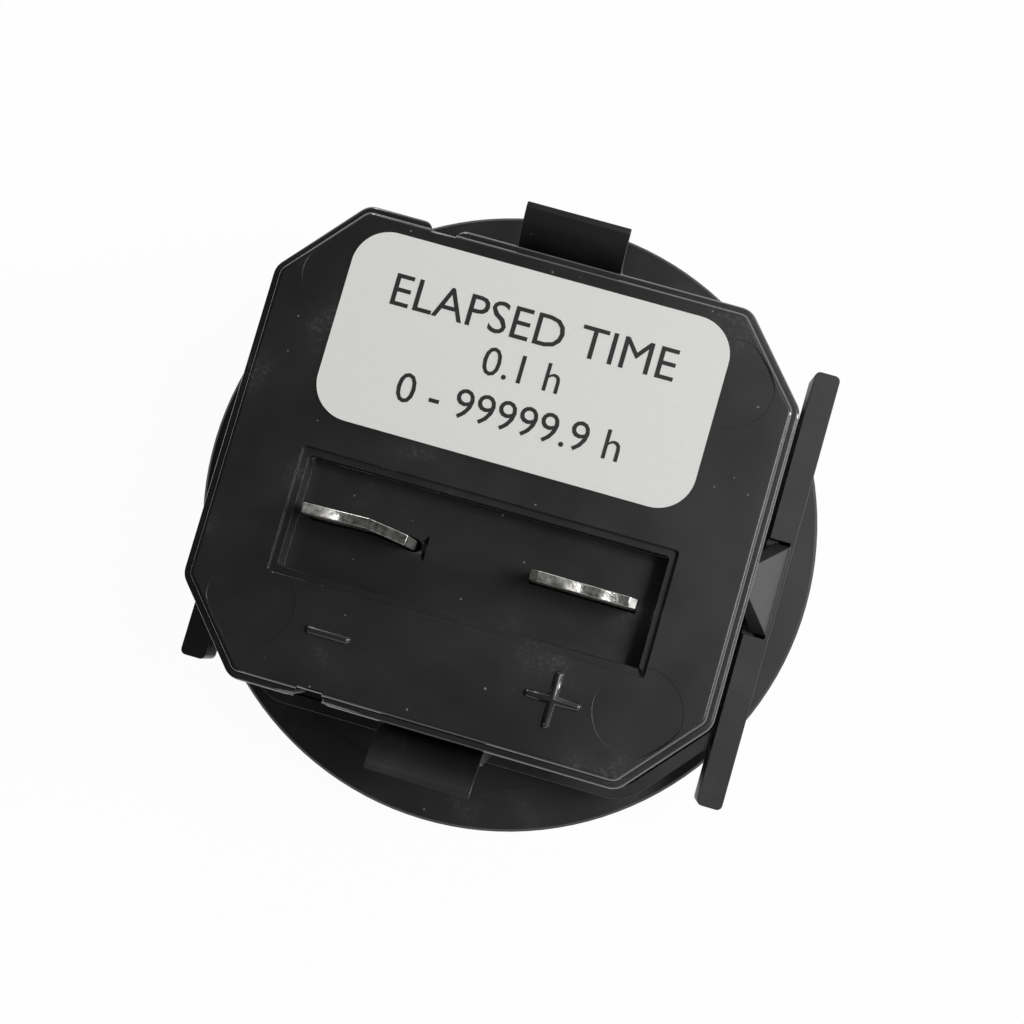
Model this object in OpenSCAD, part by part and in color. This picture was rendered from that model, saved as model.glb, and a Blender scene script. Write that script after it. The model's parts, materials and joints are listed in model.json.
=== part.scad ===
// Round panel hour meter with a mounting bracket that slides on from the rear, seen lying on its bezel.
// +Z points to the rear of the meter, z = 0 is the front rim of the bezel.
// +Y is the top of the meter on the panel. Sizes are millimetres.

/* [Case] */
// Outer diameter of the round bezel flange
bezel_dia = 58; // [56:0.5:64]
// Thickness of the bezel flange, front rim to panel seat
bezel_thick = 5; // [4.8:0.1:6]
// Rounding of the front edge of the bezel
bezel_round = 1.6; // [0.8:0.1:2.2]
// Diameter of the round spigot that enters the panel hole
spigot_dia = 50; // [49.6:0.1:50.6]
// Length of the round spigot behind the flange
spigot_len = 2.6; // [1.5:0.1:3]
// Width of the octagonal case
case_w = 43; // [42.6:0.1:43.6]
// Height of the octagonal case
case_h = 38.9; // [38.4:0.1:39.6]
// Distance from the front rim to the rear face of the cover
case_len = 34; // [33.5:0.1:36]
// Wall of the case
wall = 1.6; // [1.3:0.1:1.7]
// Rounding of the long edges of the case
edge_round = 1.6; // [1:0.1:2.2]
// Depth of the ratchet grooves in the two side walls
groove_deep = 0.4; // [0.2:0.05:0.6]
// Spacing of the ratchet grooves
groove_pitch = 1.2; // [1:0.1:1.6]

/* [Rear cover] */
// Thickness of the rear cover plate
cover_thick = 2; // [1.6:0.1:2.4]
// Height of the cover above the rim of the case
cover_proud = 0.8; // [0.4:0.1:1.1]
// Width of the case lip around the cover
cover_lip = 0.6; // [0.5:0.05:0.8]
// Width of the terminal pocket
pocket_w = 30.4; // [29:0.1:31]
// Height of the terminal pocket
pocket_h = 10.2; // [9:0.1:11]
// Depth of the terminal pocket
pocket_deep = 3.2; // [2.6:0.1:3.4]
// Position of the pocket centre below the case axis
pocket_drop = 5.5; // [5:0.1:5.8]
// Width of the ledge around the pocket
ledge_w = 0.6; // [0.3:0.05:0.9]
// Label width
label_w = 30.6; // [26:0.1:31]
// Label height
label_h = 15.4; // [13:0.1:16]
// Label corner radius
label_round = 3; // [1:0.5:4]
// Height of the label centre above the case axis
label_rise = 9.95; // [9.5:0.05:10]

/* [Terminals] */
// Width of a terminal blade
blade_w = 8.4; // [6.4:0.1:8.8]
// Thickness of a terminal blade
blade_thick = 0.8; // [0.6:0.05:1]
// Height of the blade tips above the rear face
blade_proud = 3; // [2:0.1:6]
// Distance of each blade centre from the case axis
blade_off = 9.05; // [8.6:0.05:9.4]

/* [Bracket] */
// Clearance between the finger arms and the case
bracket_gap = 0.3; // [0.2:0.05:0.5]
// Side play of the bracket on the case
bracket_play = 1.3; // [1:0.05:1.6]
// Sideways lie of the loose bracket
bracket_shift = 0.6; // [0:0.05:0.7]
// Width of a side bar, measured away from the case
bar_w = 2.3; // [2.1:0.1:3]
// Length of a side bar
bar_len = 40; // [36:0.5:42]
// How much shorter the -X bar is at its top end
bar_short = 1.9; // [0:0.1:3]
// Height of a side bar along the case
bar_tall = 4.4; // [3.8:0.1:5]
// Distance from the flange to the feet of the bars
bar_stand = 3.6; // [3.2:0.1:6]
// Width of a finger arm
arm_w = 8.6; // [7:0.1:10]
// Thickness of a finger arm
arm_thick = 1.4; // [1.1:0.1:1.8]
// Thickness of an arm at its tip
arm_tip = 0.5; // [0.3:0.1:1]
// Outward flare of an arm tip
arm_flare = 2.2; // [1.5:0.1:3.5]
// Width of a spring pawl at its root
pawl_w = 8.2; // [6:0.1:8.4]
// Width of a spring pawl at its tip
pawl_tip_w = 2.8; // [2:0.1:4]

/* [Counter] */
// Outer diameter of a number drum
drum_dia = 12.4; // [12:0.1:12.6]
// Spacing of the number drums
drum_pitch = 4; // [4:0.05:4.1]
// Width of the number rim of a drum
rim_w = 2.5; // [2.3:0.05:2.5]
// Diameter of the drum shaft
drum_shaft_dia = 1.5; // [1.2:0.05:1.8]
// Diameter of the carry pinion shaft
pinion_shaft_dia = 1; // [0.8:0.05:1.2]
// Running clearance of a bore around its shaft
run_gap = 0.04; // [0.02:0.01:0.06]
// Height of the counter above the case axis
drum_rise = 3; // [2.5:0.1:3.5]

/* [Gear train] */
// Module of the drum gears
drum_module = 0.5; // [0.5:0.01:0.5]
// Module of the fine train gears
train_module = 0.25; // [0.25:0.01:0.25]
// Diameter of the studs and arbors of the train
stud_dia = 0.8; // [0.6:0.05:0.9]
// Thickness of a train wheel
wheel_thick = 0.7; // [0.5:0.05:0.7]
// Diameter of the rotor magnet
magnet_dia = 5; // [4:0.1:5.2]
// Air gap between the magnet and the stator
air_gap = 0.4; // [0.3:0.05:0.5]

/* [Board] */
// Thickness of the circuit board
board_thick = 1.2; // [1:0.1:1.6]
// Size of the circuit board along Y
board_h = 25; // [24:0.5:26]

/* [Hidden] */
$fn = 72;
arc_steps = 6;
case_black = "#1b1c1e";
cover_black = "#202123";
bracket_black = "#161719";
steel = "#b9bcc0";
brass = "#c9a75a";
copper = "#b5672f";
nylon = "#e9e6da";

// Heights along the meter
lens_z = 0.6;
lens_thick = 2;
dial_z = lens_z + lens_thick;
dial_thick = 0.8;
plate_z = dial_z + dial_thick;
plate_thick = 1.2;
cavity_z = plate_z + plate_thick;
rim_z = case_len - cover_proud;
cover_z = case_len - cover_thick;
tub_z = case_len - pocket_deep - plate_thick;
seat_gap = 0.1;
cover_gap = 0.05;
flange_edge = 0.25;
board_room = 5;
board_z = tub_z - board_room;

// Diameters of the parts stacked in the bezel
lens_dia = bezel_dia - 6.8;
dial_dia = lens_dia - 2.6;
plate_dia = dial_dia - 2.4;

// Bracket heights
bar_z = bezel_thick + bar_stand;
bar_top = bar_z + bar_tall;
bar_x = case_w / 2 + bracket_play;
arm_y = case_h / 2 + bracket_gap;

// Movement frame
drum_count = 6;
drums_w = drum_count * drum_pitch;
end_gap = 0.6;
end_thick = 1.2;
end_x = drums_w / 2 + end_gap;
end_out = end_x + end_thick;
end_h = board_h;
drum_z = cavity_z - 0.6 + drum_dia / 2;
boss_x = end_x - 1.2;
boss_y = board_h / 2 - 1.5;
boss_h = 7;
boss_dia = 3;

// Gear sizes: tooth counts and centre distances
press_angle = 28;
drum_teeth = 20;
pinion_teeth = 8;
wheel_1_teeth = 60;
wheel_2_teeth = 48;
wheel_3_teeth = 64;
drum_play = 0.05;
train_play = 0.035;
carry_dist = drum_module * (drum_teeth + pinion_teeth) / 2;

// Directions from each axis to the next, in the plane across the arbors
dir_d3 = 150;
dir_32 = 100;
dir_21 = -10;
dir_1r = -50;

function step(p, d, a) = p + d * [cos(a), sin(a)];
drum_axis = [drum_rise, drum_z];
carry_axis = step(drum_axis, carry_dist, 90);
axis_3 = step(drum_axis, carry_dist, dir_d3);
// Room from the third arbor to the tub: the train gets finer where the case is shorter
full_room = 15.9;
gear_module = train_module * min(1, (tub_z - axis_3[1]) / full_room);
dist_32 = gear_module * (wheel_3_teeth + pinion_teeth) / 2;
dist_21 = gear_module * (wheel_2_teeth + pinion_teeth) / 2;
dist_1r = gear_module * (wheel_1_teeth + pinion_teeth) / 2;
axis_2 = step(axis_3, dist_32, dir_32);
axis_1 = step(axis_2, dist_21, dir_21);
axis_r = step(axis_1, dist_1r, dir_1r);

// Layers of the train, counted outward from the train plate
layer_gap = 0.4;
layer_3 = end_out + 0.5;
layer_2 = layer_3 + wheel_thick + layer_gap;
layer_1 = layer_2 + wheel_thick + layer_gap;
stator_in = layer_1 + wheel_thick + 0.3;
stator_thick = 0.8;
stator_out = stator_in + stator_thick;
bridge_in = stator_out + 0.5;
bridge_thick = 0.7;
bridge_out = bridge_in + bridge_thick;

// Pillars of the train bridge
pillar_r = 0.8;
pillar_y = board_h / 2 - 1.5;
pillars = [[-pillar_y, board_z - 6], [pillar_y, board_z - 2.2], [pillar_y, cavity_z + 6.8]];
pillar_rim = 1.1;
train_half = pillar_y + pillar_rim;

// Stator window and coil limb
limb_z0 = cavity_z + 1.8;
limb_z1 = limb_z0 + 2.4;
pole_w = 1.43;
yoke_w = 2.6;
coil_y0 = -train_half + 3.7;
coil_y1 = axis_r[0] - magnet_dia / 2 - air_gap - pole_w;
stator_top = axis_r[1] + magnet_dia / 2 + air_gap + yoke_w - 0.35;

function unit(v) = v / norm(v);

// Corner of a polygon replaced by an arc of radius r
function corner_arc(a, p, b, r) =
    let (d1 = unit(a - p), d2 = unit(b - p), h = acos(d1 * d2) / 2)
    let (c = p + unit(d1 + d2) * r / sin(h), s = p + d1 * r / tan(h) - c)
    let (t = atan2(s[1], s[0]), w = (180 - 2 * h) / arc_steps)
    [for (i = [0:arc_steps]) c + r * [cos(t + i * w), sin(t + i * w)]];

function rounded(pts, r) =
    let (n = len(pts))
    [for (i = [0:n - 1]) each corner_arc(pts[(i + n - 1) % n], pts[i], pts[(i + 1) % n], r)];

// Octagon whose corners lie on the spigot circle, moved inward by d
function octagon(d) =
    let (a = case_w / 2, b = case_h / 2, r = spigot_dia / 2)
    let (y1 = sqrt(r * r - a * a), x2 = sqrt(r * r - b * b))
    let (n = unit([b - y1, a - x2]), c = n * [a, y1] - d)
    let (p = [a - d, (c - n[0] * (a - d)) / n[1]], q = [(c - n[1] * (b - d)) / n[0], b - d])
    [[p[0], -p[1]], p, q, [-q[0], q[1]], [-p[0], p[1]], -p, -q, [q[0], -q[1]]];

function outline(d) = rounded(octagon(d), max(edge_round - d, 0.3));

// Reach along X of the sloping wall at height y, for the octagon moved inward by d
function slope_reach(y, d) =
    let (a = case_w / 2, b = case_h / 2, r = spigot_dia / 2)
    let (y1 = sqrt(r * r - a * a), x2 = sqrt(r * r - b * b), n = unit([b - y1, a - x2]))
    (n * [a, y1] - d - n[1] * y) / n[0];

// The train stands against the -X wall, and the whole movement follows it
wall_room = 0.4;
slope_room = 0.34;
train_reach = min(case_w / 2 - wall - wall_room, slope_reach(train_half, wall + slope_room));
movement_x = bridge_out - train_reach;

// Involute function in degrees and half angle of a tooth at radius r
function inv(a) = tan(a) * 180 / PI - a;
function tooth_half(n, m, r, play) =
    let (rp = n * m / 2, rb = rp * cos(press_angle), q = max(r, rb + 0.0001))
    90 / n - play / rp * 180 / PI + inv(press_angle) - inv(acos(rb / q));

// Outline of a stub tooth gear; every skip-th tooth is kept
function gear_pts(n, m, play, skip = 1) =
    let (rp = n * m / 2, lo = rp - m, hi = rp + 0.75 * m)
    let (rs = [lo, rp - 0.35 * m, rp + 0.2 * m, hi])
    [for (i = [0:skip:n - 1]) each concat(
        [for (r = rs) let (a = 360 * i / n - tooth_half(n, m, r, play)) r * [cos(a), sin(a)]],
        [for (k = [3:-1:0]) let (a = 360 * i / n + tooth_half(n, m, rs[k], play)) rs[k] * [cos(a), sin(a)]]
    )];

// Turn of a gear of nb teeth that meshes with one of na teeth turned by ta, in direction d
function mesh_turn(d, na, ta, nb) = d + 180 - 360 / nb * (0.5 - (d - ta) * na / 360);

turn_carry = mesh_turn(90, drum_teeth, 0, pinion_teeth);
turn_d3 = mesh_turn(dir_d3, drum_teeth, 0, pinion_teeth);
turn_2 = mesh_turn(dir_32, wheel_3_teeth, 0, pinion_teeth);
turn_1 = mesh_turn(dir_21, wheel_2_teeth, 0, pinion_teeth);
turn_r = mesh_turn(dir_1r, wheel_1_teeth, 0, pinion_teeth);

// Places flat shapes across the arbors: p is [y, z], the body runs from x0 to x1
module across(p, x0, x1, turn = 0, lie = movement_x) {
    translate([x0 + lie, p[0], p[1]]) rotate([90, 0, 90]) rotate([0, 0, turn])
        linear_extrude(x1 - x0) children();
}

module disc(p, x0, x1, r) {
    across(p, x0, x1) circle(r);
}

module gear(p, x0, x1, n, m, play, turn = 0, skip = 1) {
    across(p, x0, x1, turn) polygon(gear_pts(n, m, play, skip));
}

module rounded_rect(w, h, r) {
    square([w - 2 * r, h], center = true);
    square([w, h - 2 * r], center = true);
    for (x = [-1, 1], y = [-1, 1]) translate([x * (w / 2 - r), y * (h / 2 - r)]) circle(r);
}

// Moulded case with the round bezel, spigot and octagonal body
module front_case() {
    r = bezel_dia / 2;
    b = bezel_round;
    profile = concat([[0, 0]],
        [for (i = [0:arc_steps]) [r - b + b * sin(i * 90 / arc_steps), b - b * cos(i * 90 / arc_steps)]],
        [[r, bezel_thick - flange_edge], [r - flange_edge, bezel_thick], [0, bezel_thick]]);
    color(case_black) difference() {
        union() {
            rotate_extrude() polygon(profile);
            translate([0, 0, bezel_thick - 1]) cylinder(d = spigot_dia, h = spigot_len + 1);
            translate([0, 0, bezel_thick - 1]) linear_extrude(rim_z - bezel_thick + 1) polygon(outline(0));
        }
        translate([0, 0, -1]) cylinder(d = lens_dia + 2 * seat_gap, h = dial_z + 1);
        translate([0, 0, -1]) cylinder(d = dial_dia + 2 * seat_gap, h = plate_z + 1);
        translate([0, 0, -1]) cylinder(d = plate_dia + 2 * seat_gap, h = cavity_z + 1);
        translate([0, 0, cavity_z - 0.5]) linear_extrude(case_len) polygon(outline(wall));
        translate([0, 0, cover_z]) linear_extrude(case_len) polygon(outline(cover_lip));
        edge_notches();
        for (s = [0, 1], i = [0:groove_count - 1]) mirror([s, 0, 0])
            translate([case_w / 2, groove_len / 2, groove_z + i * groove_pitch]) rotate([90, 0, 0])
                linear_extrude(groove_len)
                polygon([[1, 0], [-groove_deep, 0], [0, groove_pitch * 0.8], [1, groove_pitch * 0.8]]);
    }
}

notch_w = 2.1;
notch_deep = 0.8;
notch_round = 0.7;
notch_tall = 6;

// Notch with round shoulders in the top and bottom edge of the case, through rim and cover
module edge_notches() {
    w = notch_w / 2;
    r = notch_round;
    arc = [for (i = [0:arc_steps]) [w + r - r * cos(i * 90 / arc_steps), r - r * sin(i * 90 / arc_steps)]];
    half = concat([[w, notch_deep]], arc, [[w + r, -1]]);
    edge = concat(half, [for (i = [len(half) - 1:-1:0]) [-half[i][0], half[i][1]]]);
    for (s = [0, 1]) mirror([0, s, 0]) translate([-notch_x, case_h / 2, rim_z - notch_tall])
        linear_extrude(2 * notch_tall) polygon([for (q = edge) [q[0], -q[1]]]);
}

groove_z = bar_top;
groove_count = 12;
groove_len = pawl_tip_w + 1.2;

// Clear window of the bezel
module lens() {
    color("#dfe8ea", 0.35) translate([0, 0, lens_z]) cylinder(d = lens_dia, h = lens_thick);
}

screw_x = plate_dia / 2 - 3;
dial_window_h = 5.2;

// Black dial with the counter window
module dial_plate() {
    color("#141414") difference() {
        translate([0, 0, dial_z]) cylinder(d = dial_dia, h = dial_thick);
        translate([movement_x, drum_rise, plate_z])
            cube([drums_w + 0.4, dial_window_h, 4], center = true);
        for (s = [-1, 1]) translate([s * screw_x, drum_rise, dial_z]) {
            translate([0, 0, -1]) cylinder(d = screw_head + 2 * seat_gap, h = 1.55);
            cylinder(d = screw_dia + 2 * seat_gap, h = 3);
        }
    }
}

screw_head = 2.4;
screw_dia = 1.4;

// Small slotted screw with its head at the low end
module small_screw(long) {
    difference() {
        union() {
            cylinder(d = screw_head, h = 0.5);
            translate([0, 0, 0.4]) cylinder(d = screw_dia, h = long);
        }
        cube([screw_head + 1, 0.4, 0.4], center = true);
    }
}

module dial_screw_left() {
    color(steel) translate([screw_x, drum_rise, dial_z + 0.05]) small_screw(1.45);
}

module dial_screw_right() {
    color(steel) translate([-screw_x, drum_rise, dial_z + 0.05]) small_screw(1.45);
}

// Moulded frame: front plate, train plate and far end plate
module movement_frame() {
    color(nylon) difference() {
        union() {
            translate([0, 0, plate_z]) cylinder(d = plate_dia, h = plate_thick);
            for (x = [-end_out, end_x]) translate([movement_x + x, -end_h / 2, cavity_z - 0.5])
                cube([end_thick, end_h, board_z - cavity_z + 0.5]);
            for (s = [-1, 1]) translate([movement_x + s * boss_x, -s * boss_y, board_z - boss_h])
                cylinder(d = boss_dia, h = boss_h);
        }
        translate([movement_x, drum_rise, cavity_z])
            cube([drums_w + 0.6, drum_dia * 0.62, 4], center = true);
        for (s = [-1, 1]) {
            translate([movement_x + s * boss_x, -s * boss_y, board_z - boss_h + 2])
                cylinder(d = screw_dia, h = boss_h);
            translate([s * screw_x, drum_rise, plate_z - 1]) cylinder(d = screw_dia, h = 4);
        }
        disc(drum_axis, -end_out - 1, end_out + 1, drum_shaft_dia / 2);
        disc(carry_axis, -end_out - 1, end_out + 1, pinion_shaft_dia / 2);
        disc(axis_3, -end_out - 1, -end_x + 1, hub_r + run_gap);
        disc(axis_2, -end_out - 1, -end_x + 1, stud_dia / 2);
        disc(axis_1, -end_out - 1, -end_x + 1, stud_dia / 2);
        disc(axis_r, -end_out - 1, -end_x + 1, stud_dia / 2 + run_gap);
    }
}

hub_r = 1;
rim_x = (drum_pitch - rim_w) / 2;
side_gap = 0.1;
drive_end = -drums_w / 2 + rim_x - side_gap;
carry_r = carry_dist - drum_module * (pinion_teeth / 2 + 0.75) - 0.1;

// Number drum k with its drive gear, number rim and carry disc
module number_drum(k) {
    x0 = -drums_w / 2 + k * drum_pitch;
    x1 = x0 + drum_pitch;
    color(k == 0 ? "#d8d5cc" : "#1a1a1a") difference() {
        union() {
            gear(drum_axis, x0 + side_gap, x0 + rim_x + 0.1, drum_teeth, drum_module, drum_play);
            difference() {
                disc(drum_axis, x0 + rim_x, x1 - rim_x, drum_dia / 2);
                disc(drum_axis, x0 + rim_x + 0.7, x1, drum_dia / 2 - 0.7);
            }
            disc(drum_axis, x0 + rim_x, x1 - side_gap, drum_shaft_dia / 2 + 1.2);
            disc(drum_axis, x1 - rim_x, x1 - side_gap, carry_r - 0.25);
            for (a = [-12, 12]) across(drum_axis, x1 - rim_x, x1 - side_gap, a)
                intersection() {
                    circle(carry_r);
                    translate([carry_r / 2, -0.35]) square([carry_r, 0.7]);
                }
        }
        disc(drum_axis, x0 - 1, x1 + 1, drum_shaft_dia / 2 + run_gap);
    }
}

module drum_tenths() { number_drum(0); }
module drum_units() { number_drum(1); }
module drum_tens() { number_drum(2); }
module drum_hundreds() { number_drum(3); }
module drum_thousands() { number_drum(4); }
module drum_ten_thousands() { number_drum(5); }

// Carry pinion between drum k and the next one: four long teeth, eight short ones
module number_pinion(k) {
    xm = -drums_w / 2 + (k + 1) * drum_pitch;
    half = rim_x - side_gap;
    color(brass) difference() {
        union() {
            gear(carry_axis, xm, xm + half, pinion_teeth, drum_module, drum_play, turn_carry);
            gear(carry_axis, xm - half, xm + 0.1, pinion_teeth, drum_module, drum_play, turn_carry, 2);
        }
        disc(carry_axis, xm - 2, xm + 2, pinion_shaft_dia / 2 + run_gap);
    }
}

module carry_pinion_1() { number_pinion(0); }
module carry_pinion_2() { number_pinion(1); }
module carry_pinion_3() { number_pinion(2); }
module carry_pinion_4() { number_pinion(3); }
module carry_pinion_5() { number_pinion(4); }

module drum_shaft() {
    color(steel) disc(drum_axis, -end_out + 0.1, end_out - 0.1, drum_shaft_dia / 2);
}

module pinion_shaft() {
    color(steel) disc(carry_axis, -end_out + 0.1, end_out - 0.1, pinion_shaft_dia / 2);
}

// Third wheel with its arbor; the hub turns in the train plate
module wheel_3() {
    color(brass) {
        gear(axis_3, -layer_3 - wheel_thick, -layer_3, wheel_3_teeth, gear_module, train_play);
        disc(axis_3, -layer_3 - 0.1, -end_x + 0.1, hub_r);
        disc(axis_3, -bridge_out + 0.15, drive_end, stud_dia / 2);
    }
}

// Pinion pressed on the end of the third arbor, driving the tenths drum
module drive_pinion() {
    color(brass) difference() {
        gear(axis_3, -end_x + 0.1, drive_end, pinion_teeth, drum_module, drum_play, turn_d3);
        disc(axis_3, -end_x - 1, -end_x + 3, stud_dia / 2);
    }
}

// Wheel and pinion in one piece, turning on a fixed stud
module stud_wheel(p, layer, n, turn) {
    inner = layer - layer_gap - wheel_thick - 0.05;
    difference() {
        union() {
            gear(p, -layer - wheel_thick, -layer, n, gear_module, train_play);
            gear(p, -layer - 0.1, -inner, pinion_teeth, gear_module, train_play, turn);
        }
        disc(p, -layer - 5, -layer + 5, stud_dia / 2 + run_gap);
    }
}

module wheel_2() { color(brass) stud_wheel(axis_2, layer_2, wheel_2_teeth, turn_2); }
module wheel_1() { color(nylon) stud_wheel(axis_1, layer_1, wheel_1_teeth, turn_1); }

module stud_2() {
    color(steel) disc(axis_2, -layer_2 - wheel_thick - 0.1, -end_x - 0.1, stud_dia / 2);
}

module stud_1() {
    color(steel) disc(axis_1, -layer_1 - wheel_thick - 0.1, -end_x - 0.1, stud_dia / 2);
}

// Rotor of the stepping motor: arbor, pinion and magnet
module motor_rotor() {
    color("#4a4d52") {
        disc(axis_r, -bridge_out + 0.15, -end_x - 0.2, stud_dia / 2);
        gear(axis_r, -layer_1 - wheel_thick - 0.1, -layer_1 + 0.1, pinion_teeth, gear_module,
            train_play, turn_r);
        disc(axis_r, -bridge_in + 0.15, -stator_in + 0.1, magnet_dia / 2);
    }
}

// Stator plate: a loop with the rotor bore and the limb of the coil
module stator() {
    color("#8d9094") across([0, 0], -stator_out, -stator_in) difference() {
        translate([-train_half, limb_z0]) square([2 * train_half, stator_top - limb_z0]);
        translate([coil_y0, limb_z1]) square([coil_y1 - coil_y0, stator_top - yoke_w - limb_z1]);
        translate(axis_r) circle(magnet_dia / 2 + air_gap);
        for (p = pillars) translate(p) circle(pillar_r + 0.05);
    }
}

// Coil former around the limb of the stator
module coil_former() {
    xc = (stator_in + stator_out) / 2;
    zc = (limb_z0 + limb_z1) / 2;
    tw = stator_thick + 0.1;
    th = limb_z1 - limb_z0 + 0.1;
    color(nylon) translate([movement_x - xc, coil_y1 - 0.2, zc]) rotate([90, 0, 0]) difference() {
        union() {
            linear_extrude(coil_y1 - coil_y0 - 0.4) square([tw + 0.8, th + 0.8], center = true);
            for (z = [0, coil_y1 - coil_y0 - 1]) translate([0, 0, z]) linear_extrude(0.6)
                square([coil_w, coil_t], center = true);
        }
        translate([0, 0, -1]) linear_extrude(20) square([tw, th], center = true);
    }
}

coil_w = 3.3;
coil_t = 4.9;

// Copper winding between the flanges of the former
module winding() {
    xc = (stator_in + stator_out) / 2;
    zc = (limb_z0 + limb_z1) / 2;
    color(copper) translate([movement_x - xc, coil_y1 - 0.8, zc]) rotate([90, 0, 0])
        linear_extrude(coil_y1 - coil_y0 - 1.6)
        difference() {
            rounded_rect(coil_w - 0.2, coil_t - 0.3, 0.8);
            square([stator_thick + 0.9, limb_z1 - limb_z0 + 0.9], center = true);
        }
}

// Bridge that carries the outer pivots, with three pillars to the train plate
module train_bridge() {
    color(brass) difference() {
        union() {
            across([0, 0], -bridge_out, -bridge_in) polygon([
                pillars[0] + [-pillar_rim, -pillar_rim], axis_3 - [1.3, 1.9],
                pillars[2] + [-pillar_rim, -pillar_rim], pillars[2] + [pillar_rim, -pillar_rim],
                pillars[1] + [pillar_rim, pillar_rim], pillars[1] + [-pillar_rim, pillar_rim],
                pillars[0] + [-pillar_rim, pillar_rim]]);
            for (p = pillars) disc(p, -bridge_in - 0.1, -end_out, pillar_r);
        }
        disc(axis_3, -bridge_out - 1, -bridge_in + 1, stud_dia / 2 + run_gap);
        disc(axis_r, -bridge_out - 1, -bridge_in + 0.05, stud_dia / 2 + run_gap);
    }
}

board_top = board_z + board_thick;
tail_w = 3;

// Circuit board lying on the two end plates
module circuit_board() {
    color("#2f6b3f") difference() {
        translate([movement_x, 0, board_z + board_thick / 2])
            cube([2 * end_out, board_h, board_thick], center = true);
        for (s = [-1, 1]) {
            translate([movement_x + s * boss_x, -s * boss_y, board_z - 1])
                cylinder(d = screw_dia + 2 * seat_gap, h = 4);
            translate([s * blade_off, -blade_drop, board_z])
                cube([tail_w + 0.2, blade_thick + 0.2, 6], center = true);
        }
    }
}

module board_screw_1() {
    color(steel) translate([movement_x + boss_x, -boss_y, board_top + 0.5]) mirror([0, 0, 1]) small_screw(5);
}

module board_screw_2() {
    color(steel) translate([movement_x - boss_x, boss_y, board_top + 0.5]) mirror([0, 0, 1]) small_screw(5);
}

module driver_chip() {
    color("#18181a") translate([movement_x - 3, 3.4, board_top]) cube([6, 4.6, 1.6]);
}

// Crystal can lying on the board
module crystal() {
    color(steel) translate([movement_x + 6, 8.8, board_top + 1]) rotate([0, 90, 0]) cylinder(d = 2, h = 6);
}

// Upright smoothing capacitor
module capacitor() {
    color("#23304e") translate([movement_x - 7.2, 6.2, board_top]) cylinder(d = 4.4, h = 5);
}

// Series resistor lying on the board
module resistor() {
    color("#b79a6b") translate([movement_x - 1.6, 10.6, board_top + 0.8]) rotate([0, 90, 0])
        cylinder(d = 1.6, h = 4.2);
}

tub_wall = 1.2;
mark_r = 3.5;
mark_x = 15.6;
mark_y = 13.2;
mark_deep = 0.04;
notch_x = 9.25;
blade_drop = pocket_drop - 0.15;
sign_y = -14.1;
sign_sink = 0.05;
minus_len = 3.7;
pocket_shift = 0.15;
ledge_deep = 0.5;
corner_r = 0.3;
relief = [1, 1.1];
relief_deep = 0.5;
sign_len = 4.6;
sign_w = 0.7;
slot_gap = 0.15;
bend = [[-blade_w / 2, 0.12], [1, 0.28], [2.8, 0.05], [blade_w / 2, -0.15]];

// Half-round bead of a raised sign, with round ends
module bead(long) {
    flat = long - sign_w;
    rotate([0, 90, 0]) cylinder(d = sign_w, h = flat, center = true);
    for (s = [-1, 1]) translate([s * flat / 2, 0, 0]) sphere(d = sign_w);
}

// Plan of a straight strip between two points, thickness t
function strip(a, b, t) =
    let (d = unit(b - a), n = [-d[1], d[0]] * t / 2)
    [a - n, b - n, b + n, a + n];

// Rear cover with the terminal pocket
module rear_cover() {
    color(cover_black) difference() {
        union() {
            translate([0, 0, cover_z]) linear_extrude(cover_thick) polygon(outline(cover_lip + cover_gap));
            translate([pocket_shift, -pocket_drop, tub_z]) linear_extrude(cover_z - tub_z + 0.5)
                rounded_rect(pocket_w + 2 * tub_wall, pocket_h + 2 * tub_wall, 1.6);
            translate([blade_off, sign_y, case_len - sign_sink]) {
                bead(sign_len);
                rotate([0, 0, 90]) bead(sign_len);
            }
            translate([-blade_off, sign_y, case_len - sign_sink]) bead(minus_len);
        }
        translate([pocket_shift, -pocket_drop, case_len - pocket_deep]) linear_extrude(10)
            rounded_rect(pocket_w - 2 * ledge_w, pocket_h - 2 * ledge_w, corner_r);
        translate([pocket_shift, -pocket_drop, case_len - ledge_deep]) linear_extrude(10)
            rounded_rect(pocket_w, pocket_h, corner_r);
        translate([blade_off, -blade_drop, tub_z])
            cube([blade_w + 2 * slot_gap, blade_thick + 2 * slot_gap, 6], center = true);
        translate([-blade_off, -blade_drop, tub_z - 1]) linear_extrude(4) {
            for (i = [0:2]) polygon(strip(bend[i], bend[i + 1], blade_thick + 2 * slot_gap));
            for (p = bend) translate(p) circle(blade_thick / 2 + slot_gap);
        }
        translate([-blade_off, -blade_drop, case_len - pocket_deep - relief_deep]) linear_extrude(4)
            polygon([bend[3], bend[3] + relief, bend[3] + [relief[0], -relief[1]]]);
        edge_notches();
        for (x = [-mark_x, mark_x], y = [-mark_y, mark_y]) translate([x, y, case_len - mark_deep])
            cylinder(r = mark_r, h = 1);
    }
}

label_shift = -0.25;
label_thick = 0.12;

// Paper label on the rear cover
module label() {
    color("#f2f2ee") translate([label_shift, label_rise, case_len]) linear_extrude(label_thick)
        rounded_rect(label_w, label_h, label_round);
}

blade_top = case_len + blade_proud;
blade_foot = tub_z - 1.4;

// Straight terminal blade with a narrow tail to the board
module terminal_positive() {
    color(steel) difference() {
        translate([blade_off, -blade_drop + blade_thick / 2, 0]) rotate([90, 0, 0])
            linear_extrude(blade_thick) union() {
                translate([-blade_w / 2, blade_foot]) square([blade_w, blade_top - blade_foot]);
                translate([-tail_w / 2, board_z - 0.6]) square([tail_w, blade_foot - board_z + 1]);
            }
        for (s = [-1, 1]) translate([blade_off + s * blade_w / 2, -blade_drop, blade_top])
            rotate([0, 45, 0]) cube([0.8, 4, 0.8], center = true);
    }
}

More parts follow.
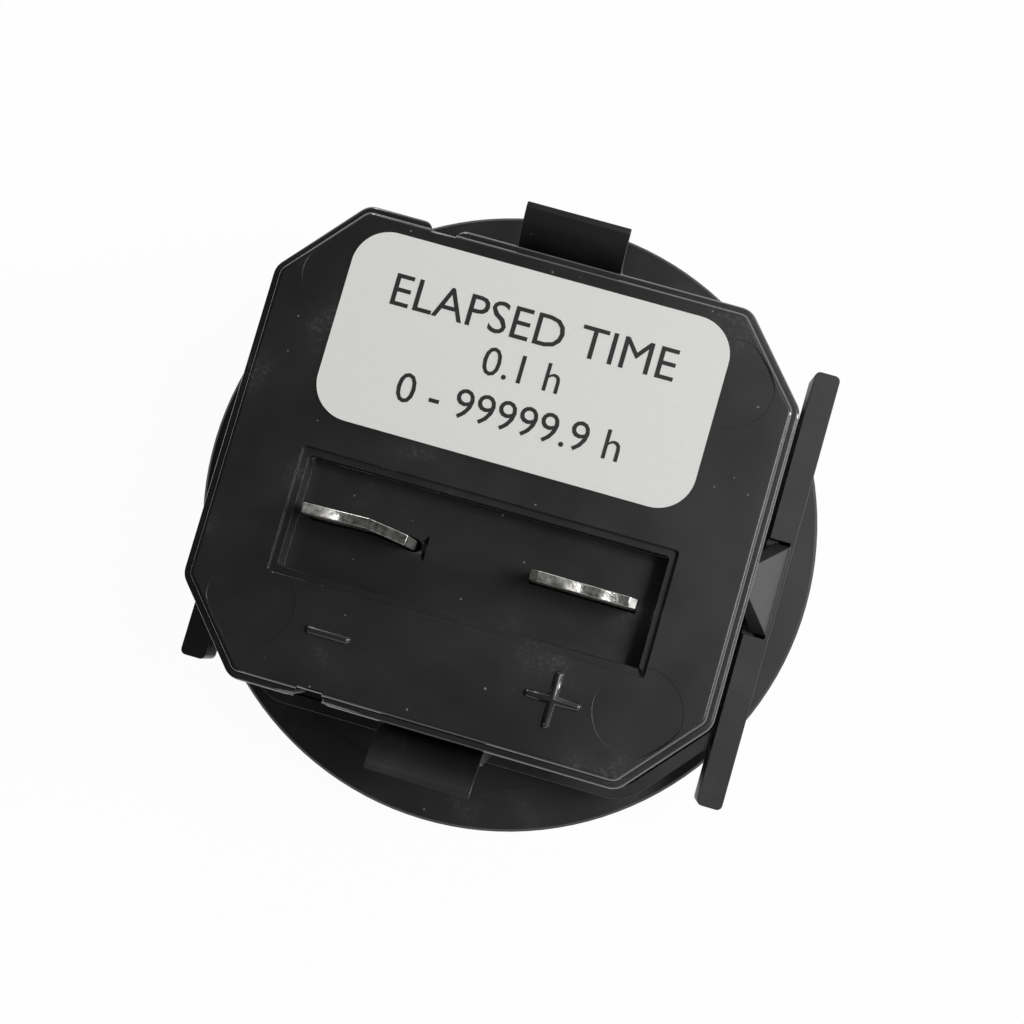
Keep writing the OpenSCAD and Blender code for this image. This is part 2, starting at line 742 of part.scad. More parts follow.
// Terminal blade that has been bent along its length
module terminal_negative() {
    color(steel) union() {
        translate([-blade_off, -blade_drop, blade_foot]) linear_extrude(blade_top - blade_foot) {
            for (i = [0:2]) polygon(strip(bend[i], bend[i + 1], blade_thick));
            for (i = [1, 2]) translate(bend[i]) circle(blade_thick / 2);
        }
        translate([-blade_off - tail_w / 2, -blade_drop - blade_thick / 2, board_z - 0.6])
            cube([tail_w, blade_thick, blade_foot - board_z + 1.2]);
    }
}

pawl_gap = 0.15;
bar_round = 0.5;
pawl_tall = 5.6;
pawl_thick = 0.9;
web_thick = 1.1;
web_gap = bracket_play - 0.1;

// Spring pawl of a side bar: a tapered leaf leaning against the case; lie moves its root sideways
module pawl(lie) {
    z0 = bar_z + 0.6;
    z1 = bar_top + pawl_tall;
    xi = case_w / 2 + pawl_gap;
    xo = bar_x + bar_w - 0.7 + lie;
    intersection() {
        translate([0, 20, 0]) rotate([90, 0, 0]) linear_extrude(40)
            polygon([[xo - 0.6, z0], [xo + 0.4, z0], [xo + 0.4, bar_top],
            [xi + pawl_thick, z1], [xi, z1 - 0.5], [xo - 0.8, bar_top - 0.6]]);
        across([0, 0], 0, 40, 0, 0) polygon([[-pawl_w / 2, z0], [pawl_w / 2, z0], [pawl_w / 2, bar_top],
            [pawl_tip_w / 2, z1 + 0.1], [-pawl_tip_w / 2, z1 + 0.1], [-pawl_w / 2, bar_top]]);
    }
}

// Side bar with its window; the free ends have round corners, and top is the length above the axis
module side_bar(lie, top) {
    xi = bar_x + lie;
    xo = xi + bar_w;
    y = -bar_len / 2;
    difference() {
        translate([0, 0, bar_z]) linear_extrude(bar_tall)
            polygon(rounded([[xi, y], [xo, y], [xo, top], [xi, top]], bar_round));
        translate([xi - 1, -pawl_w / 2 - 0.3, bar_z + 1.2]) cube([bar_w + 0.6, pawl_w + 0.6, bar_tall]);
    }
    pawl(lie);
}

// Mounting bracket: side bars, thin ring, finger arms and spring pawls
module bracket() {
    color(bracket_black) {
        translate([bracket_shift, 0, 0]) difference() {
            translate([0, 0, bar_z + 0.4]) linear_extrude(bar_tall - 1.4)
                polygon(outline(-web_gap - web_thick));
            translate([0, 0, bar_z - 1]) linear_extrude(bar_tall + 2) polygon(outline(-web_gap));
        }
        side_bar(bracket_shift, bar_len / 2);
        mirror([1, 0, 0]) side_bar(-bracket_shift, bar_len / 2 - bar_short);
        for (s = [0, 1]) mirror([0, s, 0])
            across([0, 0], -arm_w / 2, arm_w / 2, 0, bracket_shift) polygon(concat(
                [[arm_y, bar_z + 0.4], [arm_y + arm_thick, bar_z + 0.4]],
                [for (i = [0:arm_steps]) arm_point(i / arm_steps, 1)],
                [for (i = [arm_steps:-1:0]) arm_point(i / arm_steps, 0)]));
    }
}

// Point of the flaring arm at share t of its height, on the inner side or the outer one
function arm_point(t, outer) =
    [arm_y + arm_out * pow(t, arm_curl) + outer * (arm_thick + (arm_tip - arm_thick) * t),
        arm_bend + (arm_top - arm_bend) * t];

arm_out = arm_flare + arm_thick - arm_tip;
arm_curl = 5;
arm_steps = 14;
arm_bend = case_len - 8.8;
arm_top = case_len - 1.8;

front_case();
rear_cover();
label();
terminal_positive();
terminal_negative();
bracket();
lens();
dial_plate();
dial_screw_left();
dial_screw_right();
movement_frame();
drum_tenths();
drum_units();
drum_tens();
drum_hundreds();
drum_thousands();
drum_ten_thousands();
drum_shaft();
carry_pinion_1();
carry_pinion_2();
carry_pinion_3();
carry_pinion_4();
carry_pinion_5();
pinion_shaft();
wheel_1();
wheel_2();
wheel_3();
drive_pinion();
stud_1();
stud_2();
motor_rotor();
stator();
coil_former();
winding();
train_bridge();
circuit_board();
board_screw_1();
board_screw_2();
driver_chip();
crystal();
capacitor();
resistor();
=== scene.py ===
# Round panel hour meter, lying on its bezel with its rear face up.
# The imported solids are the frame; this script gives them their surfaces and adds the printing.

import json
import math

import bmesh
import bpy
import numpy as np
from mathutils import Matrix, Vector

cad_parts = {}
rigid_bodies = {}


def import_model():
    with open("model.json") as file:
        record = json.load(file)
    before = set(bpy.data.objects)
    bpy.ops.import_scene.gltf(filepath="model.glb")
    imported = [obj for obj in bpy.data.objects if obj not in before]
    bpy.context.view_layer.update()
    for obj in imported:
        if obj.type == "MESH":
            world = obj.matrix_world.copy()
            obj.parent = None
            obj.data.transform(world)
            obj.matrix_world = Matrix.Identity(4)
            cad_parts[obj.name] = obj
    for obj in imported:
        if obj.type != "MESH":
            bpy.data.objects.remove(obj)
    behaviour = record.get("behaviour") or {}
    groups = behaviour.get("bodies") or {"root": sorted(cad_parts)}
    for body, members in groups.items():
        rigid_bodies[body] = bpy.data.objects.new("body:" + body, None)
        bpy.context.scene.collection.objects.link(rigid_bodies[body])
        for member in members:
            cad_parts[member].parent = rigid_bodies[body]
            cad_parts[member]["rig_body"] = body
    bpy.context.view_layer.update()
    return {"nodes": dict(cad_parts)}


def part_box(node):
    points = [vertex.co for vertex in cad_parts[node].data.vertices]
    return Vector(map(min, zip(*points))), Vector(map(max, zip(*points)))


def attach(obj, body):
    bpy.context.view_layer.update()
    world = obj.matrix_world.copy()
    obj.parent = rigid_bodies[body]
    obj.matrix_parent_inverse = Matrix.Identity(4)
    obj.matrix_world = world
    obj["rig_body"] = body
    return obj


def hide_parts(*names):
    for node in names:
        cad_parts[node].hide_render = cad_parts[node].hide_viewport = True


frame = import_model()


# Front case: bezel flange, spigot and octagonal body in one injection moulding of black ABS.
# The tool was spark eroded, so the faces are satin with a fine grain, and all edges are slightly round.
# Hands have rubbed the rim round the rear to a glossy skin.

MM = 0.001
nodes = frame["nodes"]


def linear(colour):
    """sRGB hex to linear RGBA: c / 12.92 up to 0.04045, else ((c + 0.055) / 1.055) to the power 2.4."""
    c = np.array([int(colour[i:i + 2], 16) for i in (1, 3, 5)]) / 255
    return (*np.where(c <= 0.04045, c / 12.92, ((c + 0.055) / 1.055) ** 2.4).tolist(), 1.0)


def feed(tree, made, inputs):
    """Fills sockets of a shader node, each with a plain value or from a pair of a node and its output."""
    for key, value in inputs.items():
        if isinstance(value, tuple) and isinstance(value[0], bpy.types.Node):
            tree.links.new(value[0].outputs[value[1]], made.inputs[key])
        else:
            made.inputs[key].default_value = value


def add(tree, kind, inputs=None, **settings):
    """One shader node with its settings and its filled sockets."""
    made = tree.nodes.new("ShaderNode" + kind)
    for key, value in settings.items():
        setattr(made, key, value)
    feed(tree, made, inputs or {})
    return made


def new_material(name):
    """An empty material with its tree and its Principled shader."""
    made = bpy.data.materials.new(name)
    made.use_nodes = True
    return made, made.node_tree, made.node_tree.nodes["Principled BSDF"]


CLOUD_MM = 7.0       # width of the clouds in tone and gloss
SPECK_MM = 1.3       # spacing of the places where a speck of dust may lie
SPECK_SIZE = 0.085   # radius of the largest speck, as a share of that spacing
DUST_COVER = 0.6     # how far a speck hides the plastic
EDGE_MM = 0.06       # radius of the small edges at the rear
RUB_LOW = 16 * MM    # height below which nothing is rubbed
RUB_HIGH = 26 * MM   # height above which all edges are rubbed
SLANT_Z = 0.65       # upward share of the normal halfway round the rim
SLANT_IN = 0.26      # a normal this near to it belongs to the rim
SLANT_OUT = 0.34     # and one this far from it belongs to a flat face or a wall
PLASTIC_IOR = 1.53
SKIN_ROUGH = 0.12    # roughness of the rubbed skin


def moulded_plastic(name, deep, pale, rough, dust, grain_mm=0.3, grain_high=0.006, polish=0.0):
    """Moulded plastic: a cloudy mix of two near tones, satin gloss that varies over centimetres, a fine
    eroded grain as bump, pale dust, and small edges at the rear that are rounded and rubbed glossier.
    Real grain is about 0.05 mm wide, too fine to show, so it is drawn grain_mm wide. polish is how much
    less rough the slanting parts of the rim are, where hands have rubbed it to a skin."""
    made, tree, shader = new_material(name)
    place = (add(tree, "TexCoord"), "Object")
    facing = (add(tree, "NewGeometry"), "Normal")
    height = (add(tree, "SeparateXYZ", {"Vector": place}), "Z")

    # Tone: two near colours in clouds
    cloud = (add(tree, "TexNoise", {"Vector": place, "Scale": 1 / (CLOUD_MM * MM), "Detail": 4.0}), "Fac")
    grain = (add(tree, "TexNoise", {"Vector": place, "Scale": 1 / (grain_mm * MM), "Detail": 2.0}), "Fac")
    tone = add(tree, "MapRange", {"Value": cloud, "From Min": 0.35, "From Max": 0.65})
    base = add(tree, "MixRGB", {"Fac": (tone, "Result"), "Color1": linear(deep), "Color2": linear(pale)})

    # Dust: round specks in some cells, and smears of powder where the clouds are palest
    speck = add(tree, "TexVoronoi", {"Vector": place, "Scale": 1 / (SPECK_MM * MM)})
    chance = add(tree, "SeparateColor", {"Color": (speck, "Color")})
    size = add(tree, "MapRange", {"Value": (chance, "Red"), "From Min": 1 - dust, "From Max": 1.0,
                                  "To Max": SPECK_SIZE})
    spot = add(tree, "Math", {0: (speck, "Distance"), 1: (size, "Result")}, operation="LESS_THAN")
    powder = add(tree, "MapRange", {"Value": grain, "From Min": 0.5, "From Max": 0.72,
                                    "To Min": 0.02, "To Max": 0.5 * dust})
    smear = add(tree, "MapRange", {"Value": cloud, "From Min": 0.57, "From Max": 0.7,
                                   "To Max": (powder, "Result")})
    marks = add(tree, "Math", {0: (spot, "Value"), 1: (smear, "Result")}, operation="MAXIMUM")
    share = add(tree, "Math", {0: (marks, "Value"), 1: DUST_COVER}, operation="MULTIPLY")
    worn = add(tree, "MixRGB", {"Fac": (share, "Value"), "Color1": (base, "Color"),
                                "Color2": linear("#8a8a88")})

    # Rim: how far the lean of a face is from the lean halfway round it
    lean = add(tree, "SeparateXYZ", {"Vector": facing})
    past = add(tree, "Math", {0: (lean, "Z"), 1: SLANT_Z}, operation="SUBTRACT")
    slant = (add(tree, "Math", {0: (past, "Value")}, operation="ABSOLUTE"), "Value")
    shine = add(tree, "MapRange", {"Value": height, "From Min": RUB_LOW, "From Max": RUB_HIGH,
                                   "To Max": polish})
    handled = (add(tree, "MapRange", {"Value": slant, "From Min": SLANT_OUT, "From Max": SLANT_IN,
                                      "To Max": (shine, "Result")}), "Result")

    # Small edges: rounded by the shading, but not on the rim, which is round in the mesh
    reach = add(tree, "MapRange", {"Value": height, "From Min": RUB_LOW, "From Max": RUB_HIGH,
                                   "To Max": EDGE_MM * MM})
    radius = add(tree, "MapRange", {"Value": slant, "From Min": SLANT_IN, "From Max": SLANT_OUT,
                                    "To Max": (reach, "Result")})
    edge = (add(tree, "Bevel", {"Radius": (radius, "Result")}, samples=8), "Normal")
    bend = add(tree, "VectorMath", {0: edge, 1: facing}, operation="DOT_PRODUCT")
    rubbed = add(tree, "MapRange", {"Value": (bend, "Value"), "From Min": 0.995, "From Max": 0.95,
                                    "To Max": 0.14})

    # Gloss: satin in clouds, less rough on small edges and on the handled rim
    gloss = add(tree, "MapRange", {"Value": cloud, "From Min": 0.3, "From Max": 0.7,
                                   "To Min": rough - 0.04, "To Max": rough + 0.06})
    worked = add(tree, "Math", {0: (gloss, "Result"), 1: (rubbed, "Result")}, operation="SUBTRACT")
    satin = add(tree, "Math", {0: (worked, "Value"), 1: handled}, operation="SUBTRACT")

    # Grain: nearly worn off the rim
    relief = add(tree, "MapRange", {"Value": slant, "From Min": SLANT_IN, "From Max": SLANT_OUT,
                                    "To Min": 0.05, "To Max": 0.35})
    bump = add(tree, "Bump", {"Height": grain, "Strength": (relief, "Result"),
                              "Distance": grain_high * MM, "Normal": edge})
    feed(tree, shader, {"Base Color": (worn, "Color"), "Roughness": (satin, "Value"),
                        "Normal": (bump, "Normal"), "IOR": PLASTIC_IOR})
    if polish:
        skin = add(tree, "Math", {0: handled, 1: polish}, operation="DIVIDE")
        feed(tree, shader, {"Coat Weight": (skin, "Value"), "Coat Roughness": SKIN_ROUGH})
    return made


ARC_DEG = (0, 22, 44, 66)        # where the round of a rim is cut, from its start at the wall
CORNER_FACING = (0.756, 0.654)   # direction that the corner faces of the octagon look
LEVEL_NEAR = 0.01                # points this near to the level of the rim lie in it
MARK_INSIDE = 0.15               # ejector marks lie further in than this
MARK_LEAST, MARK_MOST = 0.001, 0.045
MARK_FILL = 0.75


def round_rim(spots, level, fade, radius):
    """Rounds the octagonal rim below level, in millimetres, of points in metres, in place. The outline is
    drawn in by radius times one minus the cosine of the angle whose sine is the height above the start of
    the rounding over radius, fading to nothing at depth fade inside it. Ejector marks, the places that
    are sunk by MARK_LEAST to MARK_MOST, are raised by MARK_FILL of their depth."""
    reach = np.abs(spots[:, :2]) / MM @ np.array([[1, 0, CORNER_FACING[0]], [0, 1, CORNER_FACING[1]]])
    height = spots[:, 2] / MM - level
    outline = reach[np.abs(height) < LEVEL_NEAR].max(0)
    depth = (outline - reach).min(1)
    part = np.clip(height / radius + 1, 0, 1) * (height < LEVEL_NEAR)
    draw = radius * (1 - np.sqrt(1 - part ** 2)) * np.clip(1 - depth / fade, 0, 1)
    spots[:, :2] *= 1 - draw[:, None] / outline[:2]
    sunk = (depth > MARK_INSIDE) & (height > -MARK_MOST) & (height < -MARK_LEAST)
    spots[sunk, 2] -= MARK_FILL * height[sunk] * MM


SAME_POINT = 0.002 * MM
SAME_PLANE = math.radians(0.4)
ON_CUT = 1e-7
SHARP = math.radians(35)


def softened(node, width, material, rim=None):
    """A copy of a CAD node with rounded edges, which replaces it: triangles in one plane are joined, the
    rim is cut at ARC_DEG and rounded where rim gives its (level, fade, radius) in millimetres, and edges
    past SHARP are bevelled by width millimetres, if any."""
    mesh = bpy.data.meshes.new(node + "_moulded")
    work = bmesh.new()
    work.from_mesh(nodes[node].data)
    bmesh.ops.remove_doubles(work, verts=work.verts, dist=SAME_POINT)
    bmesh.ops.dissolve_limit(work, angle_limit=SAME_PLANE, verts=work.verts, edges=work.edges)
    if rim:
        level, _, radius = rim
        for rise in np.sin(np.radians(ARC_DEG)):
            bmesh.ops.bisect_plane(work, geom=work.verts[:] + work.edges[:] + work.faces[:], dist=ON_CUT,
                                   plane_co=(0, 0, (level - radius + radius * rise) * MM),
                                   plane_no=(0, 0, 1))
    work.to_mesh(mesh)
    work.free()
    if rim:
        spots = np.zeros(len(mesh.vertices) * 3, np.float32)
        mesh.vertices.foreach_get("co", spots)
        round_rim(spots.reshape(-1, 3), *rim)
        mesh.vertices.foreach_set("co", spots)
    mesh.polygons.foreach_set("use_smooth", np.ones(len(mesh.polygons), bool))
    mesh.set_sharp_from_angle(angle=SHARP)
    mesh.materials.clear()
    mesh.materials.append(material)
    piece = bpy.data.objects.new(node + "_moulded", mesh)
    bpy.context.scene.collection.objects.link(piece)
    if width:
        edge = piece.modifiers.new("edge", "BEVEL")
        edge.width = width * MM
        edge.segments = 2
        edge.limit_method = "ANGLE"
        edge.angle_limit = SHARP
        piece.modifiers.new("closed", "WELD").merge_threshold = SAME_POINT
    piece.modifiers.new("flat faces", "WEIGHTED_NORMAL").keep_sharp = True
    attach(piece, nodes[node]["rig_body"])
    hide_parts(node)
    return piece


CASE_EDGE = 0.05
CASE_RIM_FADE, CASE_RIM_RADIUS = 0.55, 0.3
ABS_DEEP, ABS_PALE, ABS_ROUGH, ABS_POLISH = "#1a1a1a", "#202020", 0.36, 0.2
case_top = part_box("front_case")[1].z / MM
case_abs = moulded_plastic("black_abs_moulded_case", ABS_DEEP, ABS_PALE, ABS_ROUGH, dust=0.4,
                           polish=ABS_POLISH)
softened("front_case", CASE_EDGE, case_abs, (case_top, CASE_RIM_FADE, CASE_RIM_RADIUS))


# Lens: a clear disc of cast acrylic with polished faces and a rounded edge.
# It is bonded into the bezel against the dial.

def clear_acrylic(name):
    """Cast acrylic: clear and glossy, with the faintest haze from wiping, in patches of 3 mm."""
    made, tree, shader = new_material(name)
    haze = add(tree, "TexNoise", {"Vector": (add(tree, "TexCoord"), "Object"), "Scale": 1 / (3 * MM)})
    wipe = add(tree, "MapRange", {"Value": (haze, "Fac"), "From Min": 0.4, "From Max": 0.8,
                                  "To Min": 0.01, "To Max": 0.06})
    feed(tree, shader, {"Base Color": linear("#f6faf9"), "Roughness": (wipe, "Result"),
                        "Transmission Weight": 1.0, "IOR": 1.49})
    return made


LENS_EDGE = 0.25
softened("lens", LENS_EDGE, clear_acrylic("clear_acrylic"))


# Dial plate: thin aluminium, sprayed matt black, with white screen printing under the counter window.
# Two slotted steel screws hold it to the frame of the movement.

def dress(node, material):
    """Gives a CAD node one material all over."""
    data = nodes[node].data
    data.materials.clear()
    data.materials.append(material)


LINE_LENGTH = 14.0   # how many times longer than wide a tool line is


def fine_metal(name, colour, rough, line_mm, stain="#6d6a64"):
    """Worked metal: fine parallel tool lines, line_mm wide, as bump and gloss, with faint dull stains."""
    made, tree, shader = new_material(name)
    place = (add(tree, "TexCoord"), "Object")
    lay = add(tree, "Mapping", {"Vector": place, "Scale": (1.0, LINE_LENGTH, LINE_LENGTH)})
    line = add(tree, "TexNoise", {"Vector": (lay, "Vector"), "Scale": 1 / (line_mm * LINE_LENGTH * MM),
                                  "Detail": 3.0})
    dull = add(tree, "TexNoise", {"Vector": place, "Scale": 1 / (1.6 * MM), "Detail": 4.0})
    share = add(tree, "MapRange", {"Value": (dull, "Fac"), "From Min": 0.52, "From Max": 0.75,
                                   "To Max": 0.6})
    base = add(tree, "MixRGB", {"Fac": (share, "Result"), "Color1": linear(colour),
                                "Color2": linear(stain)})
    gloss = add(tree, "MapRange", {"Value": (line, "Fac"), "From Min": 0.3, "From Max": 0.7,
                                   "To Min": rough - 0.08, "To Max": rough + 0.12})
    bump = add(tree, "Bump", {"Height": (line, "Fac"), "Strength": 0.4, "Distance": 0.004 * MM})
    feed(tree, shader, {"Base Color": (base, "Color"), "Roughness": (gloss, "Result"),
                        "Normal": (bump, "Normal"), "Metallic": 1.0})
    return made


def printed(name, colour, rough):
    """Screen ink: one tone, nearly matt, its gloss broken by the mesh of the screen, about 0.1 mm."""
    made, tree, shader = new_material(name)
    grid = add(tree, "TexNoise", {"Vector": (add(tree, "TexCoord"), "Object"), "Scale": 1 / (0.1 * MM)})
    gloss = add(tree, "MapRange", {"Value": (grid, "Fac"), "To Min": rough - 0.1, "To Max": rough + 0.1})
    feed(tree, shader, {"Base Color": linear(colour), "Roughness": (gloss, "Result")})
    return made


def lettering(words, tall):
    """Filled outline of words as arrays, tall mm high and centred: x right, y up, z 0 to 1."""
    curve = bpy.data.curves.new("words", "FONT")
    curve.body = words
    curve.resolution_u = 3
    curve.extrude = 0.5
    carrier = bpy.data.objects.new("words", curve)
    bpy.context.scene.collection.objects.link(carrier)
    bpy.context.view_layer.update()
    made = bpy.data.meshes.new_from_object(carrier.evaluated_get(bpy.context.evaluated_depsgraph_get()))
    points = np.zeros(len(made.vertices) * 3)
    made.vertices.foreach_get("co", points)
    faces = [tuple(p.vertices) for p in made.polygons]
    bpy.data.objects.remove(carrier)
    bpy.data.curves.remove(curve)
    bpy.data.meshes.remove(made)
    points = points.reshape(-1, 3)
    middle = (points.min(0) + points.max(0)) / 2
    drawn = points[:, 1].max() - points[:, 1].min()
    points = (points - middle) * np.array([tall / drawn, tall / drawn, 1.0]) + np.array([0, 0, 0.5])
    return points, faces


def surface(name, points, faces, material, body):
    """A mesh object of points in millimetres and faces, riding on a body."""
    mesh = bpy.data.meshes.new(name)
    mesh.from_pydata((np.asarray(points) * MM).tolist(), [], faces)
    mesh.materials.append(material)
    piece = bpy.data.objects.new(name, mesh)
    bpy.context.scene.collection.objects.link(piece)
    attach(piece, body)
    return piece


# Spray paint looks like a dull moulded face with a much finer grain
matt_black = moulded_plastic("matt_black_spray", "#0c0c0d", "#101011", rough=0.7, dust=0.03,
                             grain_mm=0.12, grain_high=0.004)
white_ink = printed("white_screen_ink", "#e9e8e2", rough=0.55)
steel = fine_metal("bright_turned_steel", "#b8babd", rough=0.3, line_mm=0.08)
dress("dial_plate", matt_black)
dress("dial_screw_left", steel)
dress("dial_screw_right", steel)
dial_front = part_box("dial_plate")[0].z / MM
window_y = (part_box("drum_shaft")[0].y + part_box("drum_shaft")[1].y) / 2 / MM
INK = 0.03   # thickness of a layer of ink
# Words, their height, their x, and their y from the axis of the drums
DIAL_WORDS = (("HOURS", 3.0, 0.0, -6.0), ("1/10", 1.7, -10.0, -4.1))


def on_dial(points, across, up):
    """Printing on the dial read from the front: x to the left, y up, ink towards the lens."""
    return np.stack([across - points[:, 0], up + points[:, 1], dial_front - INK * points[:, 2]], 1)


for words, tall, across, up in DIAL_WORDS:
    glyphs, outlines = lettering(words, tall)
    surface("dial_print_" + words.replace("/", "_"), on_dial(glyphs, across, window_y + up), outlines,
            white_ink, "case")


# Movement frame: one moulding of natural acetal, milky white with a waxy sheen.
# Its front plate stands behind the dial, and its two end plates carry the shafts.

def natural_acetal(name, colour):
    """Natural acetal: off-white, slightly see-through at thin edges, with soft flow marks 4 mm wide."""
    made, tree, shader = new_material(name)
    flow = add(tree, "TexNoise", {"Vector": (add(tree, "TexCoord"), "Object"), "Scale": 1 / (4 * MM),
                                  "Detail": 3.0})
    base = add(tree, "MixRGB", {"Fac": (flow, "Fac"), "Color1": linear(colour),
                                "Color2": linear("#f4f1e8")})
    gloss = add(tree, "MapRange", {"Value": (flow, "Fac"), "To Min": 0.32, "To Max": 0.5})
    feed(tree, shader, {"Base Color": (base, "Color"), "Roughness": (gloss, "Result"), "IOR": 1.48,
                        "Subsurface Weight": 0.1, "Subsurface Radius": (0.6 * MM, 0.6 * MM, 0.5 * MM)})
    return made


acetal = natural_acetal("natural_acetal", "#dedacb")
dress("movement_frame", acetal)


# Number drums: moulded styrene, five black ones with white numerals and a white tenths drum
# with red numerals, printed round the rim in the order that comes up from below as it turns.

drum_black = moulded_plastic("black_styrene_drum", "#121213", "#19191a", rough=0.5, dust=0.03,
                             grain_mm=0.15, grain_high=0.003)
# White styrene has the same milky look as acetal
drum_white = natural_acetal("white_styrene_drum", "#e6e3da")
red_ink = printed("red_screen_ink", "#b3201c", rough=0.5)
DRUMS = ("tenths", "units", "tens", "hundreds", "thousands", "ten_thousands")
NUMERAL_TALL = 3.1
NUMERAL_NARROW = 0.78
FRONT = -0.5 * math.pi   # angle of the side that faces the window
digits = [lettering(str(value), NUMERAL_TALL) for value in range(10)]
for drum in DRUMS:
    node = "drum_" + drum
    low, high = (np.array(corner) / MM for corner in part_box(node))
    axis_y, axis_z = (low[1:] + high[1:]) / 2
    drum_radius = (high[1] - low[1]) / 2
    drum_x = (low[0] + high[0]) / 2
    dress(node, drum_white if drum == "tenths" else drum_black)
    points, faces = [], []
    for value, (glyphs, outlines) in enumerate(digits):
        start = sum(len(p) for p in points)
        angle = FRONT - 2 * math.pi * value / 10 + glyphs[:, 1] / drum_radius
        reach = drum_radius - INK + 2 * INK * glyphs[:, 2]
        points.append(np.stack([drum_x - NUMERAL_NARROW * glyphs[:, 0], axis_y + reach * np.cos(angle),
                                axis_z + reach * np.sin(angle)], 1))
        faces += [tuple(i + start for i in face) for face in outlines]
    surface("numerals_" + drum, np.concatenate(points), faces, red_ink if drum == "tenths" else white_ink,
            node + "_body")


# Shafts, wheels and pinions: drawn steel pins, and gears cut in brass or moulded in acetal.
# The shafts are held in the plates of the movement frame, and a brass bridge on three pillars
# holds the far ends of the train.

brass = fine_metal("cut_brass", "#c9a45a", rough=0.3, line_mm=0.06, stain="#8a6a34")
for pin in ("drum_shaft", "pinion_shaft", "stud_1", "stud_2"):
    dress(pin, steel)
for cut in ("wheel_2", "wheel_3", "drive_pinion", "train_bridge"):
    dress(cut, brass)
for moulded in ("wheel_1", *(f"carry_pinion_{place}" for place in range(1, 6))):
    dress(moulded, acetal)


# Stepping motor: a sintered ferrite rotor in a stator blanked from silicon steel sheet.
# Its coil is enamelled copper wire, wound on a former of natural acetal.

WIRE_MM = 0.12
WAVE = 20


def copper_wire(name):
    """Enamelled copper wire: red-brown, glossy, in close turns. A wire of WIRE_MM is too fine to show, so
    the turns are drawn 2 pi times as wide: the wave texture is a sine of WAVE times the scaled place."""
    made, tree, shader = new_material(name)
    turns = add(tree, "TexWave", {"Vector": (add(tree, "TexCoord"), "Object"),
                                  "Scale": 1 / (WIRE_MM * WAVE * MM)}, bands_direction="Y")
    ridge = add(tree, "Bump", {"Height": (turns, "Fac"), "Strength": 0.8, "Distance": 0.04 * MM})
    # Painted shade and highlight: each turn is darker in its groove and paler on its crest, following the
    # bump
    wire = add(tree, "MixRGB", {"Fac": (turns, "Fac"), "Color1": linear("#7a3a17"),
                                "Color2": linear("#b8662f")})
    feed(tree, shader, {"Base Color": (wire, "Color"), "Normal": (ridge, "Normal"), "Metallic": 0.7,
                        "Roughness": 0.32})
    return made


ferrite = fine_metal("sintered_ferrite", "#4b4d52", rough=0.55, line_mm=0.2, stain="#35363a")
dress("motor_rotor", ferrite)
dress("stator", fine_metal("blanked_silicon_steel", "#8f9296", rough=0.38, line_mm=0.1))
dress("coil_former", acetal)
dress("winding", copper_wire("enamelled_copper_wire"))


# Circuit board: glass epoxy laminate under green solder mask, held by two small steel screws.
# It carries the driver chip in black epoxy, the crystal in its steel can, a capacitor in a blue
# sleeve and a lacquered resistor.

def masked_laminate(name):
    """Laminate under solder mask: dark green and smooth, with paler tracks in fields of about 9 mm."""
    made, tree, shader = new_material(name)
    tracks = add(tree, "TexBrick", {"Vector": (add(tree, "TexCoord"), "Object"), "Scale": 1 / (9 * MM),
                                    "Color1": linear("#1d5a33"), "Color2": linear("#21663a"),
                                    "Mortar": linear("#2f8049"), "Mortar Size": 0.03})
    feed(tree, shader, {"Base Color": (tracks, "Color"), "Roughness": 0.35})
    return made


dress("circuit_board", masked_laminate("green_masked_laminate"))
dress("driver_chip", moulded_plastic("chip_epoxy", "#141415", "#1a1a1b", rough=0.6, dust=0.02))
dress("capacitor", moulded_plastic("blue_shrink_sleeve", "#17223c", "#1d2a49", rough=0.3, dust=0.02))
# Lacquer over ceramic has the soft sheen and depth of acetal, in tan
dress("resistor", natural_acetal("lacquered_resistor", "#b9986a"))
for bright in ("crystal", "board_screw_1", "board_screw_2"):
    dress(bright, steel)


# Rear cover: black ABS like the case, moulded with the sunken terminal pocket and the polarity signs.
# It is pressed into the rim of the case, and carries dust and rub marks from storage.

COVER_RIM_FADE, COVER_RIM_RADIUS = 0.6, 0.34
cover_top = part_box("label")[0].z / MM
cover_abs = moulded_plastic("black_abs_rear_cover", ABS_DEEP, ABS_PALE, ABS_ROUGH, dust=0.6,
                            polish=ABS_POLISH)
softened("rear_cover", 0, cover_abs, (cover_top, COVER_RIM_FADE, COVER_RIM_RADIUS))


# Pale slivers: two thin wedges of plastic on the rim beside the notch in the lower edge.
# Their pale colour is a painted highlight for the light caught where the rim rounds into the notch.

# Painted highlight: this pale grey stands in for the glint on the rounded shoulders of the notch
painted_glint_abs = moulded_plastic("pale_abs_painted_glint", "#787877", "#8e8e8c", rough=0.5, dust=0.1)
GLINT_Y = -19.25
GLINT_HIGH = 0.12
GLINT_FACES = ((0, 1, 3), (0, 3, 2), (1, 2, 3), (0, 2, 1))
# Side, x of the thin end and of the thick end, and width
GLINT_SIDES = (("left", -12.0, -10.4, 0.36), ("right", -4.8, -8.1, 0.2))
for side, x_thin, x_thick, wide in GLINT_SIDES:
    sliver = np.array([[x_thin, GLINT_Y, 0], [x_thick, GLINT_Y + wide / 2, 0],
                       [x_thick, GLINT_Y - wide / 2, 0], [x_thick, GLINT_Y, GLINT_HIGH]])
    outward = 1 if x_thin > x_thick else -1
    surface("glint_sliver_" + side, sliver + np.array([0, 0, case_top]), [face[::outward] for face in GLINT_FACES],
            painted_glint_abs, "case")


# Label: white paper under a clear film, die cut with round corners and printed in black.
# It is stuck to the cover by its own glue.

